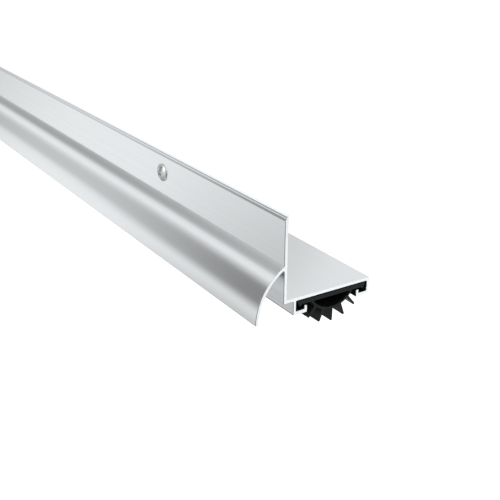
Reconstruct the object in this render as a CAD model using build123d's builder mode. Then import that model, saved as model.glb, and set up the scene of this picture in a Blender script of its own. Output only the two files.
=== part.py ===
from build123d import *
import os
from math import sqrt

# Door shoe for the bottom edge of an outward-facing door, in millimetres.
# An L-shaped aluminium extrusion wraps the door's lower front corner, throws
# rain clear with a curved drip cap and holds a finned vinyl sweep underneath.
# X runs along the door, +Y goes into the door and +Z is up. The origin is the
# inner corner of the L at mid-length, where the door's outer face (Y = 0)
# meets its bottom edge (Z = 0).

# Length of the shoe, for a 36 inch door
length = 914.4

# The L of the extrusion
leg_wall = 1.3
leg_height = 28.7
leg_tip_land = 0.1
shelf_wall = 1.3
shelf_depth = 33.7
shelf_edge_radius = 0.9

# Drip cap, an arc that leaves the leg and ends pointing straight down
drip_root_height = 11.85
drip_reach = 10.6
drip_radius = 21.7
drip_wall = 1.15
drip_tip_drop = 6.2
drip_tip_radius = 0.35

# Channel under the shelf, with a hooked lip on each side
channel_width = 28.9
channel_wall = 1.15
channel_height = 3.7
lip_wall = 1.3
lip_reach = 4.4
hook_wall = 1.15
hook_radius = 0.55
lip_edge_radius = 0.4
front_heel_radius = 0.5
back_heel_radius = 1.1

# Vinyl sweep, which slides into the channel from one end
sweep_play = 0.3
sweep_side_play = 0.6
base_wall = 1.45
barb_width = 1.85
barb_drop = 0.7
barb_rim = 0.55
bulb_hollow_width = 15.2
bulb_hollow_depth = 3.9
bulb_wall = 0.75
fin_count = 5
fin_spread = 20.5
fin_reach = 4.5
fin_root_wall = 0.95
fin_tip_wall = 0.75

# Fixing slots in the leg
screw_count = 4
screw_end_inset = 81.0
screw_below_tip = 8.35
slot_width = 4.0
slot_length = 5.8

# Pan head screws, number 6 by half an inch
head_diameter = 6.7
head_height = 1.55
head_rim = 0.35
neck_diameter = 2.7
neck_play = 0.2
thread_diameter = 3.5
screw_length = 12.7
point_length = 3.0
recess_width = 3.3
recess_arm = 0.85
recess_depth = 1.3
recess_taper = 8

# Faces of the L that the other sizes start from, and the round that leaves a
# narrow land on the tip of the leg
leg_front = -leg_wall
shelf_under = -shelf_wall
leg_tip_radius = leg_wall - leg_tip_land

# Channel, measured back from the free edge of the shelf
channel_back = shelf_depth - channel_wall
channel_front = channel_back - channel_width
channel_middle = (channel_front + channel_back) / 2
channel_floor = shelf_under - channel_height
channel_bottom = channel_floor - lip_wall

# Sweep, hung in the channel with the same play above and below its base
base_top = shelf_under - sweep_play
base_under = base_top - base_wall
base_width = channel_width - 2 * sweep_side_play
hook_top = base_under - sweep_play
bulb_inner = (bulb_hollow_width**2 / 4 + bulb_hollow_depth**2) / (2 * bulb_hollow_depth)
bulb_outer = bulb_inner + bulb_wall
bulb_centre_height = base_under - bulb_hollow_depth + bulb_inner
fin_tip_centre = bulb_outer + fin_reach - fin_tip_wall / 2

# Screws, in a row below the tip of the leg and evenly spaced between the end ones
screw_height = leg_height - screw_below_tip
screw_spacing = (length - 2 * screw_end_inset) / (screw_count - 1)
neck_length = leg_wall + neck_play
dome_rise = head_height - head_rim
dome_radius = (head_diameter**2 / 4 + dome_rise**2) / (2 * dome_rise)

os.makedirs("parts", exist_ok=True)

# Drip cap section: the ring between two arcs, kept in front of the leg and above its tip
drip_centre_y = leg_front - drip_reach + drip_radius
drip_centre_z = drip_root_height - sqrt(drip_radius**2 - (drip_radius - drip_reach) ** 2)
drip_inner = drip_radius - drip_wall

with BuildSketch() as drip:
    with Locations((drip_centre_y, drip_centre_z)):
        Circle(drip_radius)
        Circle(drip_inner, mode=Mode.SUBTRACT)
    with Locations((leg_front, -drip_tip_drop)):
        Rectangle(
            drip_reach,
            drip_tip_drop + drip_root_height,
            align=(Align.MAX, Align.MIN),
            mode=Mode.INTERSECT,
        )
    fillet(drip.vertices().group_by(Axis.Y)[0], drip_tip_radius)

# Aluminium extrusion: leg, shelf, drip cap and channel in one section
with BuildPart() as extrusion:
    with BuildSketch(Plane.YZ):
        # Leg and shelf, sharp where the door sits and rounded at their free ends
        with BuildLine():
            FilletPolyline(
                (0, 0),
                (0, leg_height),
                (leg_front, leg_height),
                (leg_front, shelf_under),
                (shelf_depth, shelf_under),
                (shelf_depth, 0),
                radius=(0, 0, leg_tip_radius, 0, 0, shelf_edge_radius),
                close=True,
            )
        make_face()
        add(drip.sketch)
        # Channel walls and lips, as two facing hooks that hang from the shelf
        for wall_y, inward, heel_radius in (
            (channel_front, 1, front_heel_radius),
            (channel_back, -1, back_heel_radius),
        ):
            with BuildLine():
                FilletPolyline(
                    (wall_y, shelf_under),
                    (wall_y, channel_floor),
                    (wall_y + inward * (lip_reach - hook_wall), channel_floor),
                    (wall_y + inward * (lip_reach - hook_wall), hook_top),
                    (wall_y + inward * lip_reach, hook_top),
                    (wall_y + inward * lip_reach, channel_bottom),
                    (wall_y - inward * channel_wall, channel_bottom),
                    (wall_y - inward * channel_wall, shelf_under),
                    radius=(0, 0, 0, 0, hook_radius, lip_edge_radius, heel_radius, 0),
                    close=True,
                )
            make_face()
    extrude(amount=length / 2, both=True)

    # Upright slots that let the shoe be set to the floor before it is screwed tight
    with BuildSketch(Plane.XZ.offset(-leg_front)):
        with Locations((0, screw_height)):
            with GridLocations(screw_spacing, 0, screw_count, 1):
                SlotOverall(slot_length, slot_width, rotation=90)
    extrude(amount=-leg_wall, mode=Mode.SUBTRACT)

extrusion.part.label = "shoe_extrusion"
export_step(extrusion.part, "parts/shoe_extrusion.step")

# Vinyl sweep: barbed base strip, hollow bulb and radial fins
with BuildSketch() as fin:
    with Locations((bulb_outer - bulb_wall / 2, 0)):
        Circle(fin_root_wall / 2)
    with Locations((fin_tip_centre, 0)):
        Circle(fin_tip_wall / 2)
    make_hull()

with BuildPart() as sweep:
    with BuildSketch(Plane.YZ):
        with Locations((channel_middle, bulb_centre_height)):
            Circle(bulb_outer)
            with PolarLocations(
                0,
                fin_count,
                start_angle=-90 - fin_spread * (fin_count - 1) / 2,
                angular_range=fin_spread * (fin_count - 1),
                endpoint=True,
            ):
                add(fin.sketch)
            Circle(bulb_inner, mode=Mode.SUBTRACT)
        with Locations((channel_middle, base_under)):
            Rectangle(
                base_width,
                bulb_inner + bulb_outer,
                align=(Align.CENTER, Align.MIN),
                mode=Mode.SUBTRACT,
            )
            Rectangle(base_width - 2 * barb_width, base_wall, align=(Align.CENTER, Align.MIN))
        # A barb at each end of the base, hooked down behind the lip
        for end_y, inward in (
            (channel_middle - base_width / 2, 1),
            (channel_middle + base_width / 2, -1),
        ):
            with BuildLine():
                Polyline(
                    (end_y, base_top),
                    (end_y, base_top - barb_rim),
                    (end_y + inward * barb_width / 2, base_under - barb_drop),
                    (end_y + inward * barb_width, base_under),
                    (end_y + inward * barb_width, base_top),
                    close=True,
                )
            make_face()
    extrude(amount=length / 2, both=True)

sweep.part.label = "vinyl_sweep"
export_step(sweep.part, "parts/vinyl_sweep.step")

# Pan head screws, seated on the outer face of the leg
first_screw = -length / 2 + screw_end_inset
for number in range(screw_count):
    seat = Vector(first_screw + number * screw_spacing, leg_front, screw_height)
    with BuildPart() as screw:
        with BuildSketch(Plane(origin=seat, x_dir=(1, 0, 0), z_dir=(0, 0, 1))):
            with BuildLine():
                RadiusArc((0, -head_height), (head_diameter / 2, -head_rim), -dome_radius)
                Polyline(
                    (head_diameter / 2, -head_rim),
                    (head_diameter / 2, 0),
                    (neck_diameter / 2, 0),
                    (neck_diameter / 2, neck_length),
                    (thread_diameter / 2, neck_length),
                    (thread_diameter / 2, screw_length - point_length),
                    (0, screw_length),
                    (0, -head_height),
                )
            make_face()
        revolve(axis=Axis(seat, (0, 1, 0)))
        # Cross recess, cut from the crown and narrowing inwards
        crown = Plane(origin=seat + Vector(0, -head_height, 0), x_dir=(1, 0, 0), z_dir=(0, -1, 0))
        with BuildSketch(crown):
            Rectangle(recess_width, recess_arm)
            Rectangle(recess_arm, recess_width)
        extrude(amount=-recess_depth, taper=recess_taper, mode=Mode.SUBTRACT)
    name = f"fixing_screw_{number + 1}"
    screw.part.label = name
    export_step(screw.part, f"parts/{name}.step")
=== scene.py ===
import logging
import math
from collections.abc import Sequence
from dataclasses import dataclass, field
from enum import Enum
from typing import Any

import bmesh
import bpy
from mathutils import Matrix, Vector
from mathutils.geometry import tessellate_polygon


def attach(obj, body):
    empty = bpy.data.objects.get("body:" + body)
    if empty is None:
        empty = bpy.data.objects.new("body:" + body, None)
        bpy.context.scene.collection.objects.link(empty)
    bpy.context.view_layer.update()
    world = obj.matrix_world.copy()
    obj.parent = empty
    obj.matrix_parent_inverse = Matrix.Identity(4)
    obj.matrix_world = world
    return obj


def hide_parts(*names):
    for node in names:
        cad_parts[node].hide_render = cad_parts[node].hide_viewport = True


# Door shoe: an aluminium extrusion that wraps a door's lower front corner, a
# finned vinyl sweep in the channel under it, and the screws that fix it.
# Sizes are in millimetres and angles in degrees until a mesh or a shader is
# made. X runs along the door, +Y goes into the door and +Z is up.

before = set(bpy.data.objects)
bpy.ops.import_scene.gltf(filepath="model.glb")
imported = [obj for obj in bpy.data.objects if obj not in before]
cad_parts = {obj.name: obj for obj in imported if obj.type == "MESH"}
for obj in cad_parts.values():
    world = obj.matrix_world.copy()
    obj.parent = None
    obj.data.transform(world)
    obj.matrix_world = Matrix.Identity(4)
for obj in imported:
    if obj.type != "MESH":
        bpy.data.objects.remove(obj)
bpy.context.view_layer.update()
MM = 0.001
log = logging.getLogger("door_shoe")

Tree = bpy.types.NodeTree
Socket = bpy.types.NodeSocket
Piece = bpy.types.Object
Place = tuple[float, float, float]

# Corners of a section that turn less than this stay plain
SMALLEST_TURN = 2.0

# Cosine of the mitre past which a sharp corner moves in no further
SHARPEST_MITRE = 0.5

# Length of a mark that the die left along a bar, and how much longer than wide
# the marks of a knife are
DIE_LINE_LENGTH = 500.0
DRAG_STRETCH = 12.0

# Part of a noise's range that is spread over the full height of a mark
GRAIN_RANGE = (0.3, 0.7)

# Axis of the 350 mm saw blade that cut the bar to length, in the section's plane
BLADE_AXIS = (0.0, 110.0, 90.0)

# How far each screw's recess is turned, as it came to rest when tightened
SCREW_TURNS = (24.0, 51.0, 8.0, 75.0)


# Helpers


def linear(colour: str) -> tuple[float, float, float, float]:
    """Turns an sRGB hex colour into linear values.

    Args:
        colour: Six hex digits after a hash sign.

    Returns:
        Linear red, green and blue, with an alpha of 1.
    """
    shares = [int(colour[i : i + 2], 16) / 255 for i in (1, 3, 5)]
    red, green, blue = (
        s / 12.92 if s <= 0.04045 else ((s + 0.055) / 1.055) ** 2.4 for s in shares
    )
    return red, green, blue, 1.0


def in_metres(place: Place) -> Vector:
    """Turns a place in millimetres into metres."""
    return Vector([side * MM for side in place])


def add_node(
    tree: Tree,
    kind: str,
    inputs: dict[str | int, Any] | list[Any] | None = None,
    output: str | int = 0,
    **settings: Any,
) -> Socket:
    """Adds one node with its settings and its links.

    Args:
        tree: Node tree that gets the node.
        kind: Type name of the node.
        inputs: What goes into its sockets, in their order or by name or place. A
            socket is linked and anything else is set as the socket's value.
        output: Name or place of the output to return.
        **settings: Properties of the node itself.

    Returns:
        The chosen output socket, or the node's first input if it has no output.
    """
    node = tree.nodes.new(kind)
    for name, value in settings.items():
        setattr(node, name, value)
    given = inputs if isinstance(inputs, dict) else dict(enumerate(inputs or []))
    for key, value in given.items():
        found = [s for s in node.inputs if s.enabled and s.name == key]
        socket = node.inputs[key] if isinstance(key, int) else found[0]
        if isinstance(value, Socket):
            tree.links.new(value, socket)
        else:
            socket.default_value = value
    if not node.outputs:
        return node.inputs[0]
    if isinstance(output, int):
        return node.outputs[output]
    return next(s for s in node.outputs if s.enabled and s.name == output)


def arm_from_axis(tree: Tree, place: Socket, centre: Socket | Vector) -> tuple[Socket, Socket]:
    """Measures a place from an axis that runs along X.

    Args:
        tree: Node tree that gets the nodes.
        place: The place to measure.
        centre: A point of the axis, in metres.

    Returns:
        The arm from the axis to the place, square to X, and its length.
    """
    arm = add_node(tree, "ShaderNodeVectorMath", [place, centre], operation="SUBTRACT")
    flat = add_node(tree, "ShaderNodeVectorMath", [arm, (0.0, 1.0, 1.0)], operation="MULTIPLY")
    length = add_node(tree, "ShaderNodeVectorMath", [flat], output="Value", operation="LENGTH")
    return flat, length


def bare_tree(owner: bpy.types.Material | bpy.types.World) -> Tree:
    """Gives the empty node tree of a new material or world.

    Args:
        owner: The material or the world.

    Returns:
        Its node tree, without the nodes that it starts with.
    """
    owner.use_nodes = True
    owner.node_tree.nodes.clear()
    return owner.node_tree


def new_tree(name: str, sizes: dict[str, float]) -> tuple[Tree, dict[str, Socket]]:
    """Starts a geometry node tree with a named input for each size.

    Args:
        name: Name of the tree.
        sizes: Name and value of each input, in scene units.

    Returns:
        The tree, and its input sockets by name.
    """
    tree = bpy.data.node_groups.new(name, "GeometryNodeTree")
    tree.is_modifier = True
    tree.interface.new_socket("Geometry", in_out="INPUT", socket_type="NodeSocketGeometry")
    for size in sizes:
        tree.interface.new_socket(size, in_out="INPUT", socket_type="NodeSocketFloat")
    tree.interface.new_socket("Geometry", in_out="OUTPUT", socket_type="NodeSocketGeometry")
    outputs = tree.nodes.new("NodeGroupInput").outputs
    return tree, {socket.name: socket for socket in outputs if socket.name}


def grow(piece: Piece, tree: Tree, sizes: dict[str, float]) -> None:
    """Runs a node tree on a piece and keeps the result as its plain mesh.

    Args:
        piece: Piece whose mesh the tree takes in.
        tree: Geometry node tree.
        sizes: Value of each named input.
    """
    modifier = piece.modifiers.new(tree.name, "NODES")
    modifier.node_group = tree
    for item in tree.interface.items_tree:
        if item.item_type == "SOCKET" and item.in_out == "INPUT" and item.name in sizes:
            modifier[item.identifier] = sizes[item.name]
    settle(piece)


def settle(piece: Piece) -> None:
    """Replaces a piece's mesh by its evaluated one and drops the modifiers.

    Args:
        piece: Piece to settle.
    """
    bpy.context.view_layer.update()
    graph = bpy.context.evaluated_depsgraph_get()
    mesh = bpy.data.meshes.new_from_object(
        piece.evaluated_get(graph), preserve_all_data_layers=True, depsgraph=graph
    )
    piece.modifiers.clear()
    piece.data = mesh
    mesh.name = piece.name


def tidy_mesh(piece: Piece, weld: float, sharp_angle: float) -> None:
    """Welds doubles, points faces outwards and sets which edges stay crisp.

    Args:
        piece: Piece to finish.
        weld: Points nearer than this are merged.
        sharp_angle: Edges that turn more than this are crisp.
    """
    sheet = bmesh.new()
    sheet.from_mesh(piece.data)
    bmesh.ops.remove_doubles(sheet, verts=sheet.verts, dist=weld * MM)
    bmesh.ops.dissolve_degenerate(sheet, edges=sheet.edges, dist=weld * MM)
    bmesh.ops.recalc_face_normals(sheet, faces=sheet.faces)
    sheet.to_mesh(piece.data)
    sheet.free()
    piece.data.shade_smooth()
    piece.data.set_sharp_from_angle(angle=math.radians(sharp_angle))
    weighted = piece.modifiers.new("Flat faces lead", "WEIGHTED_NORMAL")
    weighted.keep_sharp = True
    settle(piece)


def new_piece(name: str, mesh: bpy.types.Mesh, finishes: Sequence["Finish"]) -> Piece:
    """Makes a scene object from a mesh and gives it its materials.

    Args:
        name: Name of the piece.
        mesh: Its mesh, in metres.
        finishes: Finishes of its faces, in the order of their slots.

    Returns:
        The new object, in the scene.
    """
    piece = bpy.data.objects.new(name, mesh)
    bpy.context.scene.collection.objects.link(piece)
    for finish in finishes:
        mesh.materials.append(finish.material())
    return piece


def report(piece: Piece) -> None:
    """Logs a finished piece with its triangles and its size.

    Args:
        piece: Piece to report.
    """
    triangles = sum(len(face.vertices) - 2 for face in piece.data.polygons)
    sides = " x ".join(f"{side / MM:.1f}" for side in piece.dimensions)
    log.info("%s: %d triangles, %s mm", piece.name, triangles, sides)


# Sections


@dataclass(frozen=True)
class Corner:
    """A corner of a section, in the YZ plane, with the radius that rounds it."""

    y: float
    z: float
    radius: float = 0.0


@dataclass(frozen=True)
class RimPoint:
    """A point on a section's rim and the way that it goes into the material.

    It moves against its outward direction. On a rounded corner it has room up
    to the corner's centre, and goes on from there along the corner's middle.
    """

    y: float
    z: float
    out_y: float
    out_z: float
    room: float
    deep_y: float
    deep_z: float

    def moved_in(self, depth: float) -> tuple[float, float]:
        """Finds where the point goes when the rim moves in.

        Args:
            depth: How far the rim moves in.

        Returns:
            Y and Z of the point.
        """
        step = min(depth, self.room)
        rest = depth - step
        return (
            self.y - self.out_y * step + self.deep_y * rest,
            self.z - self.out_z * step + self.deep_z * rest,
        )


def arc(
    centre: tuple[float, float], radius: float, start: float, end: float, step: float
) -> list[Corner]:
    """Samples an arc as a run of plain corners.

    Args:
        centre: Centre of the arc, Y and Z.
        radius: Radius of the arc.
        start: Angle of its first point, from +Y towards +Z.
        end: Angle of its last point.
        step: Largest angle between two points.

    Returns:
        The corners, both ends included.
    """
    count = max(2, math.ceil(abs(end - start) / step) + 1)
    angles = [math.radians(start + (end - start) * i / (count - 1)) for i in range(count)]
    return [
        Corner(centre[0] + radius * math.cos(a), centre[1] + radius * math.sin(a)) for a in angles
    ]


def rounded_rim(corners: Sequence[Corner], step: float) -> list[RimPoint]:
    """Rounds the corners of a closed section that runs counter-clockwise.

    Args:
        corners: The corners in order, with +Y to the right and +Z up.
        step: Largest angle between two points of a rounded corner.

    Returns:
        The points of the rim with their outward directions.
    """
    flat: list[tuple[Vector, float, Vector]] = []
    for index, corner in enumerate(corners):
        here = Vector((corner.y, corner.z))
        before = Vector((corners[index - 1].y, corners[index - 1].z)) - here
        following = corners[(index + 1) % len(corners)]
        after = Vector((following.y, following.z)) - here
        turn = math.pi - before.angle(after)
        if corner.radius <= 0 or turn < math.radians(SMALLEST_TURN):
            flat.append((here, math.inf, Vector((0.0, 0.0))))
            continue
        inward = -before.x * after.y + before.y * after.x > 0
        leg = corner.radius * math.tan(turn / 2)
        first = here + before.normalized() * leg
        deep = (before.normalized() + after.normalized()).normalized() / math.cos(turn / 2)
        middle = here + deep * corner.radius
        pieces = max(2, math.ceil(math.degrees(turn) / step))
        sign = 1 if inward else -1
        for count in range(pieces + 1):
            spoke = Matrix.Rotation(sign * turn * count / pieces, 2) @ (first - middle)
            flat.append((middle + spoke, corner.radius if inward else math.inf, deep))
    rim = []
    for index, (here, room, deep) in enumerate(flat):
        back = (here - flat[index - 1][0]).normalized()
        ahead = (flat[(index + 1) % len(flat)][0] - here).normalized()
        side = Vector((back.y + ahead.y, -back.x - ahead.x)).normalized()
        reach = 1 / max(SHARPEST_MITRE, side.dot(Vector((ahead.y, -ahead.x))))
        rim.append(RimPoint(here.x, here.y, side.x * reach, side.y * reach, room, deep.x, deep.y))
    return rim


def bar_stations(
    length: float, spans: int, end_run: float, end_inset: float
) -> list[tuple[float, float]]:
    """Spreads the rings of a bar about mid-length, with broken edges at its ends.

    Args:
        length: Length of the bar.
        spans: Number of equal spans between the broken edges.
        end_run: Length of each broken edge along the bar.
        end_inset: How far the rim of the end face is moved in.

    Returns:
        For each ring, its place along X and how far its rim is moved in.
    """
    end = length / 2
    inner_end = end - end_run
    between = [(-inner_end + 2 * inner_end * i / spans, 0.0) for i in range(spans + 1)]
    return [(-end, end_inset), *between, (end, end_inset)]


def prism(
    name: str, rims: Sequence[Sequence[RimPoint]], stations: Sequence[tuple[float, float]]
) -> bpy.types.Mesh:
    """Makes a closed bar from a section that may have hollows.

    Args:
        name: Name of the mesh.
        rims: The outer rim, then the rim of each hollow.
        stations: For each ring along X, its place and how far its rim is moved in.

    Returns:
        The mesh, in metres.
    """
    sheet = bmesh.new()
    rings: list[list[list[bmesh.types.BMVert]]] = [
        [
            [sheet.verts.new(Vector((x, *point.moved_in(depth))) * MM) for point in rim]
            for rim in rims
        ]
        for x, depth in stations
    ]
    for ring, following in zip(rings, rings[1:]):
        for loop, other in zip(ring, following):
            for i in range(len(loop)):
                j = (i + 1) % len(loop)
                sheet.faces.new((loop[i], loop[j], other[j], other[i]))
    for ring in (rings[0], rings[-1]):
        points = [vertex for loop in ring for vertex in loop]
        for face in tessellate_polygon([[vertex.co for vertex in loop] for loop in ring]):
            sheet.faces.new([points[i] for i in face])
    bmesh.ops.recalc_face_normals(sheet, faces=sheet.faces)
    mesh = bpy.data.meshes.new(name)
    sheet.to_mesh(mesh)
    sheet.free()
    return mesh


# Finishes


class Grain(Enum):
    """How a surface was made, which sets the direction of its fine marks."""

    DIE_LINES = "drawn through a die, with fine lines along the bar"
    SAW_ARCS = "cut by a circular saw, with shallow arcs"
    KNIFE_DRAG = "cut by a knife, with soft lines the way the blade went"
    PLATING = "plated in a bath, with a fine even mottle"


@dataclass(frozen=True)
class Finish:
    """A real material with the marks of how its surface was made.

    The grain's spacing is the distance between its marks. Real die lines and
    plating are finer, and are drawn as coarse as they need to be to show. Relief
    is the depth of the marks, and swing is how much they change the roughness.
    """

    name: str
    colour: str
    worn_colour: str
    metallic: float
    roughness: float
    swing: float
    grain: Grain
    spacing: float
    relief: float
    ior: float | None = None
    specular: float | None = None

    def pattern(self, tree: Tree) -> Socket:
        """Builds the nodes of the grain.

        Args:
            tree: Node tree of the material.

        Returns:
            Height of the marks, from 0 to 1.
        """
        place = add_node(tree, "ShaderNodeTexCoord", output="Object")
        close = 1 / (self.spacing * MM)
        if self.grain is Grain.SAW_ARCS:
            reach = arm_from_axis(tree, place, in_metres(BLADE_AXIS))[1]
            arcs = add_node(tree, "ShaderNodeCombineXYZ", {"X": reach})
            scaled = add_node(
                tree, "ShaderNodeVectorMath", {0: arcs, "Scale": close}, operation="SCALE"
            )
        else:
            scales = {
                Grain.DIE_LINES: (1 / (DIE_LINE_LENGTH * MM), close, close),
                Grain.KNIFE_DRAG: (close, close, close / DRAG_STRETCH),
                Grain.PLATING: (close, close, close),
            }
            scaled = add_node(
                tree, "ShaderNodeMapping", {"Vector": place, "Scale": scales[self.grain]}
            )
        noise = add_node(
            tree,
            "ShaderNodeTexNoise",
            {"Vector": scaled, "Scale": 1.0, "Detail": 3.0, "Roughness": 0.6},
            output="Fac",
        )
        return add_node(
            tree,
            "ShaderNodeMapRange",
            {"Value": noise, "From Min": GRAIN_RANGE[0], "From Max": GRAIN_RANGE[1]},
            interpolation_type="SMOOTHSTEP",
        )

    def material(self) -> bpy.types.Material:
        """Gives the finish's material, which is built the first time.

        Returns:
            The material, the same one each time.
        """
        known = bpy.data.materials.get(self.name)
        if known:
            return known
        material = bpy.data.materials.new(self.name)
        tree = bare_tree(material)
        height = self.pattern(tree)
        colour = add_node(
            tree,
            "ShaderNodeMix",
            {"Factor": height, "A": linear(self.worn_colour), "B": linear(self.colour)},
            output="Result",
            data_type="RGBA",
        )
        dull, smooth = self.roughness + self.swing, self.roughness - self.swing
        relief = {"Height": height, "Strength": 1.0, "Distance": self.relief * MM}
        settings = {
            "Base Color": colour,
            "Metallic": self.metallic,
            "Roughness": add_node(
                tree, "ShaderNodeMapRange", {"Value": height, "To Min": dull, "To Max": smooth}
            ),
            "Normal": add_node(tree, "ShaderNodeBump", relief),
        }
        if self.ior is not None:
            settings["IOR"] = self.ior
        if self.specular is not None:
            settings["Specular IOR Level"] = self.specular
        shader = add_node(tree, "ShaderNodeBsdfPrincipled", settings)
        add_node(tree, "ShaderNodeOutputMaterial", {"Surface": shader})
        return material


# 6063 aluminium, extruded, etched and clear anodised: bright silver with a
# satin sheen that softens reflections, and hardly visible lines along the bar
ANODISED_EXTRUSION = Finish(
    name="anodised_aluminium_extrusion",
    colour="#EEF1F3",
    worn_colour="#EBEEF0",
    metallic=1.0,
    roughness=0.18,
    swing=0.006,
    grain=Grain.DIE_LINES,
    spacing=0.7,
    relief=0.0003,
)

# The same alloy bare where the bar was cut to length: whiter and duller, with
# the shallow arcs of a saw blade
SAWN_ALUMINIUM = Finish(
    name="sawn_aluminium_end",
    colour="#F1F5F7",
    worn_colour="#EAEEF0",
    metallic=1.0,
    roughness=0.36,
    swing=0.04,
    grain=Grain.SAW_ARCS,
    spacing=0.45,
    relief=0.002,
)

# Flexible PVC, extruded: near-black with a soft satin skin and faint die lines
EXTRUDED_VINYL = Finish(
    name="flexible_vinyl_skin",
    colour="#141517",
    worn_colour="#1A1B1D",
    metallic=0.0,
    roughness=0.4,
    swing=0.05,
    grain=Grain.DIE_LINES,
    spacing=0.5,
    relief=0.004,
    ior=1.53,
    specular=0.2,
)

# The same vinyl where a knife trimmed it: greyer and flat, with drag lines
TRIMMED_VINYL = Finish(
    name="flexible_vinyl_cut",
    colour="#1A1C1D",
    worn_colour="#222425",
    metallic=0.0,
    roughness=0.6,
    swing=0.06,
    grain=Grain.KNIFE_DRAG,
    spacing=0.25,
    relief=0.006,
    ior=1.53,
    specular=0.16,
)

# Zinc plate on steel, clear passivated: bright grey with a slight mottle
ZINC_PLATED_STEEL = Finish(
    name="zinc_plated_steel",
    colour="#DADCD9",
    worn_colour="#CBCECC",
    metallic=1.0,
    roughness=0.26,
    swing=0.04,
    grain=Grain.PLATING,
    spacing=0.35,
    relief=0.0015,
)


# Pieces


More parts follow.
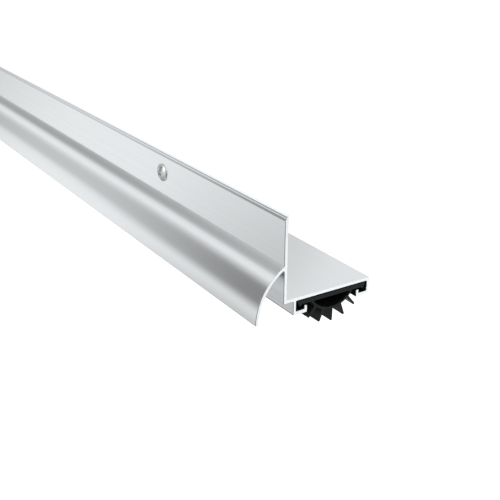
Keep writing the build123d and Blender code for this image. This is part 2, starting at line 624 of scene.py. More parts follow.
@dataclass
class ShoeExtrusion:
    """The one-piece aluminium bar: leg, shelf, drip cap and hooked channel.

    The tip's starts and ends count down from the top of the leg. The punch for
    the slots starts and runs by so many walls of the leg.
    """

    length: float = 914.4
    leg_wall: float = 1.3
    leg_height: float = 28.7
    tip_bevel_start: float = 1.9
    tip_bevel_end: float = 1.22
    tip_bevel_set: float = 0.39
    tip_score_start: float = 0.85
    tip_score_end: float = 0.42
    tip_score_depth: float = 0.28
    tip_crown_rise: float = 0.21
    tip_crown_radius: float = 1.0
    tip_break: float = 0.06
    shelf_wall: float = 1.3
    shelf_depth: float = 33.7
    shelf_edge_radius: float = 0.3
    drip_root_height: float = 11.85
    drip_reach: float = 10.6
    drip_radius: float = 21.7
    drip_wall: float = 1.15
    drip_tip_drop: float = 6.2
    drip_tip_radius: float = 0.35
    drip_outer_step: float = 1.6
    drip_inner_step: float = 2.0
    channel_width: float = 28.9
    channel_wall: float = 1.15
    channel_height: float = 3.7
    lip_wall: float = 1.3
    lip_reach: float = 4.4
    hook_wall: float = 1.15
    hook_radius: float = 0.55
    hook_rise: float = 1.3
    lip_edge_radius: float = 0.4
    heel_bevel_rise: float = 0.55
    heel_bevel_set: float = 0.2
    back_heel_radius: float = 1.1
    edge_break: float = 0.2
    root_radius: float = 0.25
    corner_step: float = 18.0
    deburr_inset: float = 0.15
    deburr_run: float = 0.1
    slot_width: float = 4.0
    slot_length: float = 5.8
    slot_height: float = 20.35
    slot_count: int = 4
    slot_end_inset: float = 81.0
    slot_round_share: float = 0.499
    slot_corner_points: int = 8
    punch_start: float = -2.0
    punch_run: float = 3.0
    spans: int = 12
    weld: float = 0.002
    sharp_angle: float = 32.0

    @property
    def slot_spacing(self) -> float:
        """Distance from one slot to the next."""
        return (self.length - 2 * self.slot_end_inset) / (self.slot_count - 1)

    def drip_angle(self, radius: float, height: float) -> float:
        """Angle on a drip cap arc of this radius at which it is at this height."""
        return 180 - math.degrees(math.asin((height - self.drip_centre()[1]) / radius))

    def drip_centre(self) -> tuple[float, float]:
        """Finds the centre of the drip cap's arcs, whose tip points straight down.

        Returns:
            Y and Z of the centre.
        """
        across = self.drip_radius - self.drip_reach
        rise = math.sqrt(self.drip_radius**2 - across**2)
        return self.drip_radius - self.drip_reach - self.leg_wall, self.drip_root_height - rise

    def tip_corners(self) -> list[Corner]:
        """Lists the front of the leg's tip.

        Returns:
            The corners of a crowned top, a scored line, a land and a bevel.
        """
        front, top = -self.leg_wall, self.leg_height
        land, fine = front + self.tip_bevel_set, self.tip_break / 3
        score = (self.tip_score_start + self.tip_score_end) / 2
        return [
            Corner(land / 2, top - self.tip_crown_rise, self.tip_crown_radius),
            Corner(land, top - self.tip_score_end, self.tip_break),
            Corner(land + self.tip_score_depth, top - score, fine),
            Corner(land, top - self.tip_score_start, fine),
            Corner(land, top - self.tip_bevel_end, self.tip_break),
            Corner(front, top - self.tip_bevel_start, self.tip_break),
        ]

    def section(self) -> list[Corner]:
        """Lists the whole section.

        Returns:
            Its corners, counter-clockwise from the inner corner of the L.
        """
        front, under = -self.leg_wall, -self.shelf_wall
        floor = under - self.channel_height
        bottom = floor - self.lip_wall
        back_wall = self.shelf_depth - self.channel_wall
        front_wall = back_wall - self.channel_width
        heel = front_wall - self.channel_wall
        front_lip, back_lip = front_wall + self.lip_reach, back_wall - self.lip_reach
        front_hook, back_hook = front_lip - self.hook_wall, back_lip + self.hook_wall
        hook_top = floor + self.hook_rise
        centre = self.drip_centre()
        outer, inner = self.drip_radius, self.drip_radius - self.drip_wall
        root_inside = centre[1] + math.sqrt(inner**2 - (front - centre[0]) ** 2)
        root_out, *outer_arc, tip_out = arc(
            centre,
            outer,
            self.drip_angle(outer, self.drip_root_height),
            self.drip_angle(outer, -self.drip_tip_drop),
            self.drip_outer_step,
        )
        tip_in, *inner_arc, root_in = arc(
            centre,
            inner,
            self.drip_angle(inner, -self.drip_tip_drop),
            self.drip_angle(inner, root_inside),
            self.drip_inner_step,
        )
        broken, root = self.edge_break, self.root_radius
        return [
            Corner(0, 0, root),
            Corner(0, self.leg_height, self.tip_break),
            *self.tip_corners(),
            Corner(root_out.y, root_out.z, root),
            *outer_arc,
            Corner(tip_out.y, tip_out.z, self.drip_tip_radius),
            Corner(tip_in.y, tip_in.z, self.drip_tip_radius),
            *inner_arc,
            Corner(root_in.y, root_in.z, root),
            Corner(front, under, broken),
            Corner(heel, under, root),
            Corner(heel, bottom + self.heel_bevel_rise, self.tip_break),
            Corner(heel + self.heel_bevel_set, bottom, broken),
            Corner(front_lip, bottom, self.lip_edge_radius),
            Corner(front_lip, hook_top, self.hook_radius),
            Corner(front_hook, hook_top, broken),
            Corner(front_hook, floor, root),
            Corner(front_wall, floor, root),
            Corner(front_wall, under, root),
            Corner(back_wall, under, root),
            Corner(back_wall, floor, root),
            Corner(back_hook, floor, root),
            Corner(back_hook, hook_top, broken),
            Corner(back_lip, hook_top, self.hook_radius),
            Corner(back_lip, bottom, self.lip_edge_radius),
            Corner(self.shelf_depth, bottom, self.back_heel_radius),
            Corner(self.shelf_depth, 0, self.shelf_edge_radius),
        ]

    def slot_tree(self) -> tuple[Tree, dict[str, float]]:
        """Builds the nodes that punch the row of upright slots through the leg.

        Returns:
            The tree, and the values of its inputs.
        """
        sizes = {
            "Slot Width": self.slot_width * MM,
            "Slot Length": self.slot_length * MM,
            "Slot Height": self.slot_height * MM,
            "Slot Spacing": self.slot_spacing * MM,
            "Slot Count": float(self.slot_count),
            "Round Share": self.slot_round_share,
            "Corner Points": float(self.slot_corner_points),
            "Leg Wall": self.leg_wall * MM,
            "Punch Start": self.punch_start,
            "Punch Run": self.punch_run,
            "Bar End": (self.length / 2 - self.deburr_run / 4) * MM,
        }
        tree, given = new_tree("Punched slot row", sizes)
        outline = add_node(
            tree,
            "GeometryNodeCurvePrimitiveQuadrilateral",
            {"Width": given["Slot Width"], "Height": given["Slot Length"]},
        )
        # A share just under a half, so that the round ends never cross
        half = add_node(
            tree,
            "ShaderNodeMath",
            [given["Slot Width"], given["Round Share"]],
            operation="MULTIPLY",
        )
        rounded = add_node(
            tree,
            "GeometryNodeFilletCurve",
            {"Curve": outline, "Radius": half, "Count": given["Corner Points"]},
            mode="POLY",
        )
        run = add_node(
            tree, "ShaderNodeMath", [given["Leg Wall"], given["Punch Run"]], operation="MULTIPLY"
        )
        start = add_node(
            tree, "ShaderNodeMath", [given["Leg Wall"], given["Punch Start"]], operation="MULTIPLY"
        )
        line = add_node(
            tree,
            "GeometryNodeCurvePrimitiveLine",
            {
                "Start": add_node(tree, "ShaderNodeCombineXYZ", {"Y": start}),
                "Direction": (0.0, 1.0, 0.0),
                "Length": run,
            },
            mode="DIRECTION",
        )
        upright = add_node(tree, "GeometryNodeSetCurveNormal", {"Curve": line}, mode="Z_UP")
        punch = add_node(
            tree,
            "GeometryNodeCurveToMesh",
            {"Curve": upright, "Profile Curve": rounded, "Fill Caps": True},
        )
        gaps = add_node(tree, "ShaderNodeMath", [given["Slot Count"], 1.0], operation="SUBTRACT")
        reach = add_node(
            tree, "ShaderNodeMath", [gaps, given["Slot Spacing"]], operation="MULTIPLY"
        )
        first = add_node(tree, "ShaderNodeMath", [reach, -0.5], operation="MULTIPLY")
        row = add_node(
            tree,
            "GeometryNodeMeshLine",
            {
                "Count": given["Slot Count"],
                "Start Location": add_node(
                    tree, "ShaderNodeCombineXYZ", {"X": first, "Z": given["Slot Height"]}
                ),
                "Offset": add_node(tree, "ShaderNodeCombineXYZ", {"X": given["Slot Spacing"]}),
            },
            mode="OFFSET",
            count_mode="TOTAL",
        )
        placed = add_node(tree, "GeometryNodeInstanceOnPoints", {"Points": row, "Instance": punch})
        cutters = add_node(tree, "GeometryNodeRealizeInstances", {"Geometry": placed})
        punched = add_node(
            tree,
            "GeometryNodeMeshBoolean",
            {"Mesh 1": given["Geometry"], "Mesh 2": cutters},
            operation="DIFFERENCE",
            solver="EXACT",
        )
        finish_tree(tree, punched, given["Bar End"], ANODISED_EXTRUSION, SAWN_ALUMINIUM)
        return tree, sizes

    def build(self) -> Piece:
        """Makes the bar, with its ends sawn and deburred and its slots punched.

        Returns:
            The finished piece.
        """
        mesh = prism(
            "shoe_bar",
            [rounded_rim(self.section(), self.corner_step)],
            bar_stations(self.length, self.spans, self.deburr_run, self.deburr_inset),
        )
        piece = new_piece("shoe_bar", mesh, (ANODISED_EXTRUSION, SAWN_ALUMINIUM))
        grow(piece, *self.slot_tree())
        tidy_mesh(piece, self.weld, self.sharp_angle)
        return piece


def finish_tree(tree: Tree, solid: Socket, bar_end: Socket, skin: Finish, cut: Finish) -> None:
    """Ends a bar's tree: skin all over, and the cut finish on its two end faces.

    Args:
        tree: Tree to end.
        solid: Geometry of the bar.
        bar_end: Distance from mid-length past which a face belongs to an end.
        skin: Finish of the bar's long faces.
        cut: Finish of its ends.
    """
    real = add_node(tree, "GeometryNodeRealizeInstances", {"Geometry": solid})
    coated = add_node(
        tree, "GeometryNodeSetMaterial", {"Geometry": real, "Material": skin.material()}
    )
    place = add_node(tree, "GeometryNodeInputPosition")
    along = add_node(tree, "ShaderNodeSeparateXYZ", [place], output="X")
    away = add_node(tree, "ShaderNodeMath", [along], operation="ABSOLUTE")
    past = add_node(
        tree,
        "FunctionNodeCompare",
        {"A": away, "B": bar_end},
        data_type="FLOAT",
        operation="GREATER_THAN",
    )
    ends = add_node(
        tree,
        "GeometryNodeSetMaterial",
        {"Geometry": coated, "Selection": past, "Material": cut.material()},
    )
    add_node(tree, "NodeGroupOutput", {"Geometry": ends})


@dataclass
class VinylSweep:
    """The slide-in sweep: barbed base strip, hollow bulb and a fan of fins.

    Its waves lie in lanes across the bulb, one for each fin, and lane_gap keeps
    the noise of one lane away from that of the next. Wave range is the part of
    the noise's range that is spread over the full height of a wave.
    """

    length: float = 914.4
    middle: float = 18.1
    base_top: float = -1.6
    base_wall: float = 1.45
    base_width: float = 27.7
    base_edge_radius: float = 0.15
    barb_width: float = 1.85
    barb_drop: float = 0.7
    barb_rim: float = 0.55
    barb_rim_radius: float = 0.12
    hollow_width: float = 15.2
    hollow_depth: float = 3.9
    bulb_wall: float = 0.75
    fin_count: int = 5
    fin_spread: float = 20.5
    fin_reach: float = 4.5
    fin_root_wall: float = 0.95
    fin_tip_wall: float = 0.75
    fin_tip_round_share: float = 0.42
    root_radius: float = 0.22
    outer_step: float = 3.5
    hollow_step: float = 4.0
    corner_step: float = 30.0
    trim: float = 0.05
    ring_spacing: float = 7.0
    wave_height: float = 0.11
    wave_length: float = 60.0
    wave_lane: float = 4.0
    wave_seed: float = 4.0
    wave_range: tuple[float, float] = (0.25, 0.75)
    lane_gap: float = 10.0
    weld: float = 0.002
    sharp_angle: float = 38.0

    @property
    def base_under(self) -> float:
        """Height of the base strip's lower face."""
        return self.base_top - self.base_wall

    @property
    def inner_radius(self) -> float:
        """Radius of the hollow's round side."""
        return (self.hollow_width**2 / 4 + self.hollow_depth**2) / (2 * self.hollow_depth)

    @property
    def outer_radius(self) -> float:
        """Radius of the bulb's skin."""
        return self.inner_radius + self.bulb_wall

    @property
    def centre(self) -> tuple[float, float]:
        """Centre of the bulb's arcs, Y and Z."""
        return self.middle, self.base_under - self.hollow_depth + self.inner_radius

    def base_reach(self, radius: float) -> float:
        """Angle under the level at which an arc of the bulb meets the base strip."""
        return math.degrees(math.asin((self.centre[1] - self.base_under) / radius))

    def outer_corners(self) -> list[Corner]:
        """Lists the outside of the section.

        Returns:
            Its corners, counter-clockwise from the base's back top corner.
        """
        half = self.base_width / 2
        left, right = self.middle - half, self.middle + half
        drop, edge_radius = self.base_under - self.barb_drop, self.base_edge_radius
        corners = [
            Corner(right, self.base_top, edge_radius),
            Corner(left, self.base_top, edge_radius),
            Corner(left, self.base_top - self.barb_rim, self.barb_rim_radius),
            Corner(left + self.barb_width / 2, drop, edge_radius),
            Corner(left + self.barb_width, self.base_under, edge_radius),
        ]
        reach = self.base_reach(self.outer_radius)
        edge, last = 180 + reach, 360 - reach
        foot = math.degrees(math.asin(self.fin_root_wall / 2 / self.outer_radius))
        first = arc(self.centre, self.outer_radius, edge, last, self.outer_step)[0]
        corners.append(Corner(first.y, first.z, self.root_radius))
        for number in range(self.fin_count):
            angle = 270 + (number - (self.fin_count - 1) / 2) * self.fin_spread
            skin = arc(self.centre, self.outer_radius, edge, angle - foot, self.outer_step)
            corners += [*skin[1:-1], *self.fin_corners(angle, foot)]
            edge = angle + foot
        skin = arc(self.centre, self.outer_radius, edge, last, self.outer_step)
        corners += [
            *skin[1:-1],
            Corner(skin[-1].y, skin[-1].z, self.root_radius),
            Corner(right - self.barb_width, self.base_under, edge_radius),
            Corner(right - self.barb_width / 2, drop, edge_radius),
            Corner(right, self.base_top - self.barb_rim, self.barb_rim_radius),
        ]
        return corners

    def fin_corners(self, angle: float, foot: float) -> list[Corner]:
        """Lists one fin.

        Args:
            angle: Direction of the fin from the bulb's centre.
            foot: Half the angle that its root covers.

        Returns:
            First root, both corners of the tip and the second root.
        """
        out = Vector((math.cos(math.radians(angle)), math.sin(math.radians(angle))))
        side = Vector((-out.y, out.x))
        tip = self.outer_radius + self.fin_reach
        tip_radius = self.fin_tip_wall * self.fin_tip_round_share
        root = self.outer_radius * math.cos(math.radians(foot))
        corners = []
        for distance, wall, sign, radius in (
            (root, self.fin_root_wall, -1, self.root_radius),
            (tip, self.fin_tip_wall, -1, tip_radius),
            (tip, self.fin_tip_wall, 1, tip_radius),
            (root, self.fin_root_wall, 1, self.root_radius),
        ):
            place = Vector(self.centre) + out * distance + side * (sign * wall / 2)
            corners.append(Corner(place.x, place.y, radius))
        return corners

    def hollow_corners(self) -> list[Corner]:
        """Lists the hollow's rim.

        Returns:
            Its corners, clockwise so that the material lies outside.
        """
        reach = self.base_reach(self.inner_radius)
        first, *skin, last = arc(
            self.centre, self.inner_radius, 360 - reach, 180 + reach, self.hollow_step
        )
        return [
            Corner(first.y, first.z, self.root_radius),
            *skin,
            Corner(last.y, last.z, self.root_radius),
        ]

    def wave_tree(self) -> tuple[Tree, dict[str, float]]:
        """Builds the nodes that let the free edges of the fins wander a little.

        Returns:
            The tree, and the values of its inputs.
        """
        sizes = {
            "Bulb Radius": self.outer_radius * MM,
            "Bulb Middle": self.centre[0] * MM,
            "Bulb Height": self.centre[1] * MM,
            "Fin Reach": self.fin_reach * MM,
            "Base Under": self.base_under * MM,
            "Wave Height": self.wave_height * MM,
            "Wave Length": self.wave_length * MM,
            "Wave Low": self.wave_range[0],
            "Wave High": self.wave_range[1],
            "Lane Width": self.wave_lane * MM,
            "Lane Gap": self.lane_gap,
            "Seed": self.wave_seed,
            "Bar End": (self.length / 2 - self.trim / 2) * MM,
        }
        tree, given = new_tree("Wandering fins", sizes)
        place = add_node(tree, "GeometryNodeInputPosition")
        centre = add_node(
            tree, "ShaderNodeCombineXYZ", {"Y": given["Bulb Middle"], "Z": given["Bulb Height"]}
        )
        arm, far = arm_from_axis(tree, place, centre)
        tip = add_node(
            tree, "ShaderNodeMath", [given["Bulb Radius"], given["Fin Reach"]], operation="ADD"
        )
        free = add_node(
            tree,
            "ShaderNodeMapRange",
            {"Value": far, "From Min": given["Bulb Radius"], "From Max": tip},
        )
        height = add_node(tree, "ShaderNodeSeparateXYZ", [place], output="Z")
        below = add_node(
            tree, "ShaderNodeMath", [height, given["Base Under"]], operation="LESS_THAN"
        )
        # Each fin lies in its own lane across the bulb, which gives it its own wave
        across = add_node(tree, "ShaderNodeSeparateXYZ", [arm], output="Y")
        lanes = add_node(
            tree, "ShaderNodeMath", [across, given["Lane Width"]], operation="DIVIDE"
        )
        lane = add_node(tree, "ShaderNodeMath", [lanes], operation="ROUND")
        spread = add_node(
            tree,
            "ShaderNodeMath",
            [lane, given["Lane Gap"], given["Seed"]],
            operation="MULTIPLY_ADD",
        )
        along = add_node(tree, "ShaderNodeSeparateXYZ", [place], output="X")
        run = add_node(tree, "ShaderNodeMath", [along, given["Wave Length"]], operation="DIVIDE")
        spot = add_node(tree, "ShaderNodeCombineXYZ", {"X": run, "Y": spread})
        noise = add_node(
            tree,
            "ShaderNodeTexNoise",
            {"Vector": spot, "Scale": 1.0, "Detail": 1.0},
            output="Fac",
        )
        back = add_node(tree, "ShaderNodeMath", [given["Wave Height"], -1.0], operation="MULTIPLY")
        size = add_node(
            tree,
            "ShaderNodeMapRange",
            {
                "Value": noise,
                "From Min": given["Wave Low"],
                "From Max": given["Wave High"],
                "To Min": back,
                "To Max": given["Wave Height"],
            },
        )
        weight = add_node(tree, "ShaderNodeMath", [free, below], operation="MULTIPLY")
        shift = add_node(tree, "ShaderNodeMath", [size, weight], operation="MULTIPLY")
        bent = add_node(tree, "ShaderNodeCombineXYZ", {"Y": shift})
        moved = add_node(
            tree, "GeometryNodeSetPosition", {"Geometry": given["Geometry"], "Offset": bent}
        )
        finish_tree(tree, moved, given["Bar End"], EXTRUDED_VINYL, TRIMMED_VINYL)
        return tree, sizes

    def build(self) -> Piece:
        """Makes the sweep, trimmed flush with the bar that holds it.

        Returns:
            The finished piece.
        """
        spans = round(self.length / self.ring_spacing)
        outlines = (self.outer_corners(), self.hollow_corners())
        mesh = prism(
            "finned_sweep",
            [rounded_rim(outline, self.corner_step) for outline in outlines],
            bar_stations(self.length, spans, self.trim, self.trim),
        )
        piece = new_piece("finned_sweep", mesh, (EXTRUDED_VINYL, TRIMMED_VINYL))
        grow(piece, *self.wave_tree())
        tidy_mesh(piece, self.weld, self.sharp_angle)
        return piece


@dataclass
class PanScrew:
    """A number 6 pan head screw with a cross recess and a gimlet point.

    Recess floor is the share of its width that the recess keeps at its bottom.
    Thread start and end are the shares of a pitch between which its flank rises.
    The head's facets are shares of its edge break.
    """

    place: Place
    turn: float
    head_diameter: float = 6.7
    head_height: float = 1.55
    head_rim: float = 0.35
    neck_diameter: float = 2.7
    neck_length: float = 1.5
    neck_runout: float = 0.5
    thread_diameter: float = 3.5
    thread_start: float = 0.2
    thread_end: float = 0.47
    core_diameter: float = 2.55
    pitch: float = 1.27
    length: float = 12.7
    point_length: float = 3.0
    recess_width: float = 3.1
    recess_arm: float = 0.8
    recess_depth: float = 1.3
    recess_floor: float = 0.45
    edge_break: float = 0.12
    dome_facet: float = 0.5
    rim_facet: float = 0.6
    under_facet: tuple[float, float] = (0.4, 0.3)
    sides: int = 44
    dome_rows: int = 12
    rows_per_pitch: int = 9
    seam_weld: float = 0.004
    weld: float = 0.001
    sharp_angle: float = 34.0

    def profile(self) -> list[tuple[float, float]]:
        """Lists the screw's outline, from the crown down to the point.

        Returns:
            Radius and height of each row of points.
        """
        rise = self.head_height - self.head_rim
        edge = self.head_diameter / 2
        dome = (edge**2 + rise**2) / (2 * rise)
        broken = self.edge_break
        points = [(0.0, self.head_height)]
        limit = math.asin((edge - broken * self.dome_facet) / dome)
        for step in range(1, self.dome_rows + 1):
            angle = limit * step / self.dome_rows
            points.append((dome * math.sin(angle), self.head_height - dome + dome * math.cos(angle)))
        points += [
            (edge, self.head_rim - broken * self.rim_facet),
            (edge, broken),
            (edge - broken * self.under_facet[0], broken * self.under_facet[1]),
            (edge - broken, 0.0),
            (self.neck_diameter / 2 + broken, 0.0),
            (self.neck_diameter / 2, -broken),
        ]
        shoulder, tip = -self.neck_length, -self.length
        cone = tip + self.point_length
        core, neck = self.core_diameter / 2, self.neck_diameter / 2
        count = round((shoulder - tip) / self.pitch * self.rows_per_pitch)
        for step in range(count + 1):
            height = shoulder + (tip - shoulder) * step / count
            if height > cone:
                runout = max(0.0, 1 - (shoulder - height) / self.neck_runout)
                radius = core + (neck - core) * runout
            else:
                radius = core * (height - tip) / (cone - tip)
            points.append((radius, height))
        return points

    def turned(self, tree: Tree, given: dict[str, Socket]) -> Socket:
        """Builds the nodes that turn the profile and roll the thread.

        Args:
            tree: Tree that gets the nodes.
            given: The tree's input sockets by name.

        Returns:
            The solid screw without its recess.
        """
        around = add_node(tree, "ShaderNodeMath", [given["Sides"], 1.0], operation="ADD")
        grid = add_node(
            tree,
            "GeometryNodeMeshGrid",
            {"Size X": 1.0, "Size Y": 1.0, "Vertices X": given["Rows"], "Vertices Y": around},
        )
        # The row of a point picks its place on the profile, and its column the angle
        number = add_node(tree, "GeometryNodeInputIndex")
        share = add_node(tree, "ShaderNodeMath", [number, around], operation="DIVIDE")
        row = add_node(tree, "ShaderNodeMath", [share], operation="FLOOR")
        place = add_node(tree, "GeometryNodeInputPosition")
        profile = add_node(
            tree,
            "GeometryNodeSampleIndex",
            {"Geometry": given["Geometry"], "Value": place, "Index": row},
            data_type="FLOAT_VECTOR",
            domain="POINT",
        )
        radius = add_node(tree, "ShaderNodeSeparateXYZ", [profile], output="X")
        height = add_node(tree, "ShaderNodeSeparateXYZ", [profile], output="Z")
        column = add_node(tree, "ShaderNodeSeparateXYZ", [place], output="Y")
        angle = add_node(tree, "ShaderNodeMath", [column, math.tau], operation="MULTIPLY")
        # A V ridge that climbs one pitch in each turn
        climb = add_node(tree, "ShaderNodeMath", [height, given["Pitch"]], operation="DIVIDE")
        phase = add_node(tree, "ShaderNodeMath", [climb, column], operation="SUBTRACT")
        ridge = add_node(tree, "ShaderNodeMath", [phase, 0.5], operation="PINGPONG")
        sharp = add_node(
            tree,
            "ShaderNodeMapRange",
            {"Value": ridge, "From Min": given["Flank Start"], "From Max": given["Flank End"]},
        )
        begin = add_node(
            tree, "ShaderNodeMath", [given["Thread Top"], given["Pitch"]], operation="SUBTRACT"
        )
        fade_in = add_node(
            tree,
            "ShaderNodeMapRange",
            {"Value": height, "From Min": given["Thread Top"], "From Max": begin},
        )
        cone = add_node(
            tree, "ShaderNodeMath", [given["Thread End"], given["Point Length"]], operation="ADD"
        )
        fade_out = add_node(
            tree,
            "ShaderNodeMapRange",
            {"Value": height, "From Min": given["Thread End"], "From Max": cone},
        )
        blend = add_node(tree, "ShaderNodeMath", [fade_in, fade_out], operation="MULTIPLY")
        raised = add_node(tree, "ShaderNodeMath", [sharp, blend], operation="MULTIPLY")
        wide = add_node(
            tree,
            "ShaderNodeMath",
            [raised, given["Thread Depth"], radius],
            operation="MULTIPLY_ADD",
        )
        cosine = add_node(tree, "ShaderNodeMath", [angle], operation="COSINE")
        sine = add_node(tree, "ShaderNodeMath", [angle], operation="SINE")
        across = add_node(tree, "ShaderNodeMath", [wide, cosine], operation="MULTIPLY")
        up = add_node(tree, "ShaderNodeMath", [wide, sine], operation="MULTIPLY")
        spot = add_node(tree, "ShaderNodeCombineXYZ", {"X": across, "Y": up, "Z": height})
        rolled = add_node(tree, "GeometryNodeSetPosition", {"Geometry": grid, "Position": spot})
        closed = add_node(
            tree,
            "GeometryNodeMergeByDistance",
            {"Geometry": rolled, "Distance": given["Seam Weld"]},
        )
        return add_node(tree, "GeometryNodeFlipFaces", {"Mesh": closed})

    def recess_blade(self, tree: Tree, given: dict[str, Socket], width: str, arm: str) -> Socket:
        """Builds one blade of the recess, whose flanks narrow towards its bottom.

        Args:
            tree: Tree that gets the nodes.
            given: The tree's input sockets by name.
            width: Name of the input with its size along X.
            arm: Name of the input with its size along Y.

        Returns:
            The blade, set to the crown's height.
        """
        tall = add_node(tree, "ShaderNodeMath", [given["Recess Depth"], 2.0], operation="MULTIPLY")
        size = add_node(
            tree, "ShaderNodeCombineXYZ", {"X": given[width], "Y": given[arm], "Z": tall}
        )
        box = add_node(tree, "GeometryNodeMeshCube", {"Size": size})
        place = add_node(tree, "GeometryNodeInputPosition")
        floor = add_node(
            tree, "ShaderNodeMath", [given["Recess Depth"], -1.0], operation="MULTIPLY"
        )
        height = add_node(tree, "ShaderNodeSeparateXYZ", [place], output="Z")
        taper = add_node(
            tree,
            "ShaderNodeMapRange",
            {
                "Value": height,
                "From Min": floor,
                "From Max": 0.0,
                "To Min": given["Recess Floor"],
                "To Max": 1.0,
            },
            clamp=False,
        )
        scale = add_node(tree, "ShaderNodeCombineXYZ", {"X": taper, "Y": taper, "Z": 1.0})
        narrowed = add_node(tree, "ShaderNodeVectorMath", [place, scale], operation="MULTIPLY")
        blade = add_node(tree, "GeometryNodeSetPosition", {"Geometry": box, "Position": narrowed})
        lift = add_node(tree, "ShaderNodeCombineXYZ", {"Z": given["Crown"]})
        return add_node(tree, "GeometryNodeTransform", {"Geometry": blade, "Translation": lift})

    def tree(self) -> tuple[Tree, dict[str, float]]:
        """Builds the nodes that turn the profile, roll the thread and cut the recess.

        Returns:
            The tree, and the values of its inputs.
        """
        sizes = {
            "Rows": float(len(self.profile())),
            "Sides": float(self.sides),
            "Pitch": self.pitch * MM,
            "Thread Depth": (self.thread_diameter - self.core_diameter) / 2 * MM,
            "Flank Start": self.thread_start,
            "Flank End": self.thread_end,
            "Seam Weld": self.seam_weld * MM,
            "Thread Top": -self.neck_length * MM,
            "Thread End": -self.length * MM,
            "Point Length": self.point_length * MM,
            "Recess Width": self.recess_width * MM,
            "Recess Arm": self.recess_arm * MM,
            "Recess Depth": self.recess_depth * MM,
            "Recess Floor": self.recess_floor,
            "Crown": self.head_height * MM,
            "Turn": math.radians(self.turn),
            "Seat X": self.place[0] * MM,
            "Seat Y": self.place[1] * MM,
            "Seat Z": self.place[2] * MM,
        }
        known = bpy.data.node_groups.get("Rolled thread screw")
        if known:
            return known, sizes
        tree, given = new_tree("Rolled thread screw", sizes)
        screw = self.turned(tree, given)
        # Two crossed blades sink into the crown
        for width, arm in (("Recess Width", "Recess Arm"), ("Recess Arm", "Recess Width")):
            screw = add_node(
                tree,
                "GeometryNodeMeshBoolean",
                {"Mesh 1": screw, "Mesh 2": self.recess_blade(tree, given, width, arm)},
                operation="DIFFERENCE",
                solver="EXACT",
            )
        turn = add_node(tree, "ShaderNodeCombineXYZ", {"Z": given["Turn"]})
        spun = add_node(tree, "GeometryNodeTransform", {"Geometry": screw, "Rotation": turn})
        # The crown, which pointed up, faces out of the leg
        seat = add_node(
            tree,
            "ShaderNodeCombineXYZ",
            {"X": given["Seat X"], "Y": given["Seat Y"], "Z": given["Seat Z"]},
        )
        laid = add_node(
            tree,
            "GeometryNodeTransform",
            {"Geometry": spun, "Translation": seat, "Rotation": (math.radians(90), 0.0, 0.0)},
        )
        real = add_node(tree, "GeometryNodeRealizeInstances", {"Geometry": laid})
        coated = add_node(
            tree,
            "GeometryNodeSetMaterial",
            {"Geometry": real, "Material": ZINC_PLATED_STEEL.material()},
        )
        add_node(tree, "NodeGroupOutput", {"Geometry": coated})
        return tree, sizes

    def build(self, name: str) -> Piece:
        """Makes the screw from its profile.

        Args:
            name: Name of the piece.

        Returns:
            The finished piece.
        """
        points = [(radius * MM, 0.0, height * MM) for radius, height in self.profile()]
        mesh = bpy.data.meshes.new(name)
        mesh.from_pydata(points, [(i, i + 1) for i in range(len(points) - 1)], [])
        piece = new_piece(name, mesh, (ZINC_PLATED_STEEL,))
        grow(piece, *self.tree())
        piece.data.materials.clear()
        piece.data.materials.append(ZINC_PLATED_STEEL.material())
        tidy_mesh(piece, self.weld, self.sharp_angle)
        return piece


# Studio


@dataclass(frozen=True)
class Flag:
    """A soft-edged strip of the card that takes away part of the room's white.

    Angles run about the shoe's length: 0 is straight ahead of the leg, 90 is
    overhead and 180 straight behind. Negative ones and those past 180 lie below.
    Depth is the share of light that the flag takes at the near and at the far end
    of its run along X, and it changes evenly between them. A negative depth adds
    light. A flag with an end fades out between its two values of X.
    """

    angle: float
    half_width: float
    softness: float
    depth: tuple[float, float]
    run: tuple[float, float] = (140.0, -170.0)
    end: tuple[float, float] | None = None

    def taken(self, tree: Tree, angle: Socket, x: Socket) -> Socket:
        """Builds the nodes for the share of light that the flag takes.

        Args:
            tree: Node tree of the card.
            angle: Angle about the shoe's length, in radians.
            x: Place along the shoe, in metres.

        Returns:
            The share at that place of the card.
        """
        gap = add_node(
            tree, "ShaderNodeMath", [angle, math.radians(self.angle)], operation="SUBTRACT"
        )
        turn = add_node(tree, "ShaderNodeMath", [gap, math.pi, -math.pi], operation="WRAP")
        off = add_node(tree, "ShaderNodeMath", [turn], operation="ABSOLUTE")
        outside = math.radians(self.half_width + self.softness / 2)
        inside = math.radians(self.half_width - self.softness / 2)
        cover = add_node(
            tree,
            "ShaderNodeMapRange",
            {"Value": off, "From Min": outside, "From Max": inside},
            interpolation_type="SMOOTHSTEP",
        )
        depth = add_node(
            tree,
            "ShaderNodeMapRange",
            {
                "Value": x,
                "From Min": self.run[0] * MM,
                "From Max": self.run[1] * MM,
                "To Min": self.depth[0],
                "To Max": self.depth[1],
            },
        )
        share = add_node(tree, "ShaderNodeMath", [cover, depth], operation="MULTIPLY")
        if self.end is None:
            return share
        kept = add_node(
            tree,
            "ShaderNodeMapRange",
            {"Value": x, "From Min": self.end[1] * MM, "From Max": self.end[0] * MM},
            interpolation_type="SMOOTHSTEP",
        )
        return add_node(tree, "ShaderNodeMath", [share, kept], operation="MULTIPLY")


@dataclass(frozen=True)
class Softbox:
    """A square lamp that metal doesn't mirror, at a place and aimed at another."""

    name: str
    power: float
    side: float
    place: Place
    aim: Place

    def hang(self) -> None:
        """Hangs the lamp in the scene."""
        lamp = bpy.data.lights.new(self.name, "AREA")
        lamp.shape = "SQUARE"
        lamp.size = self.side * MM
        lamp.energy = self.power
        holder = bpy.data.objects.new(self.name, lamp)
        place, aim = in_metres(self.place), in_metres(self.aim)
        holder.location = place
        holder.rotation_mode = "QUATERNION"
        holder.rotation_quaternion = (aim - place).to_track_quat("-Z", "Y")
        holder.visible_camera = False
        holder.visible_glossy = False
        bpy.context.scene.collection.objects.link(holder)


